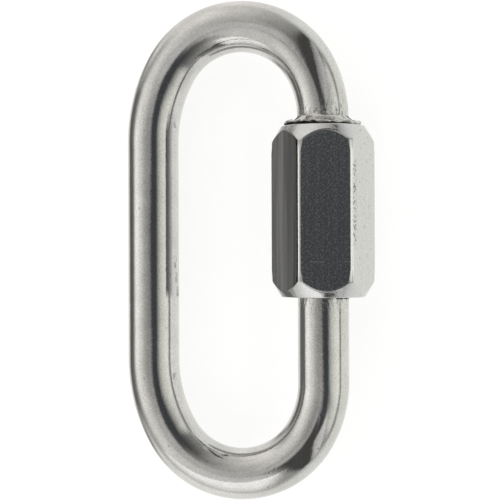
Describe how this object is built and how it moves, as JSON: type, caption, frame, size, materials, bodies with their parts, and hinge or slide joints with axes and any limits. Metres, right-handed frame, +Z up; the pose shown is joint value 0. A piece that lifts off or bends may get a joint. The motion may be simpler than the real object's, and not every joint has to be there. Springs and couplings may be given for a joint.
{
  "type": "chain quick link",
  "caption": "Oval quick link of round steel wire, closed by a long hexagonal sleeve nut that screws along one leg to open the gate.",
  "frame": {"origin": "middle of the footprint, on the ground that the link lies on", "axes": "+Y along the link toward the stop collar, +X toward the leg with the sleeve nut, +Z up"},
  "size_m": [0.0484, 0.0976, 0.0177],
  "materials": {
    "plain_steel": "tumbled satin, with fine grain and small pits",
    "machined_steel": "drawn hexagon bar with lengthwise brushing and turned bright ends"
  },
  "bodies": {
    "link": {"link_body": "plain_steel"},
    "nut": {"sleeve_nut": "machined_steel"}
  },
  "joints": [
    {"name": "nut_travel", "type": "slide", "parent": "link", "child": "nut", "axis": [0, -1, 0], "range_m": [0, 0.018]}
  ]
}
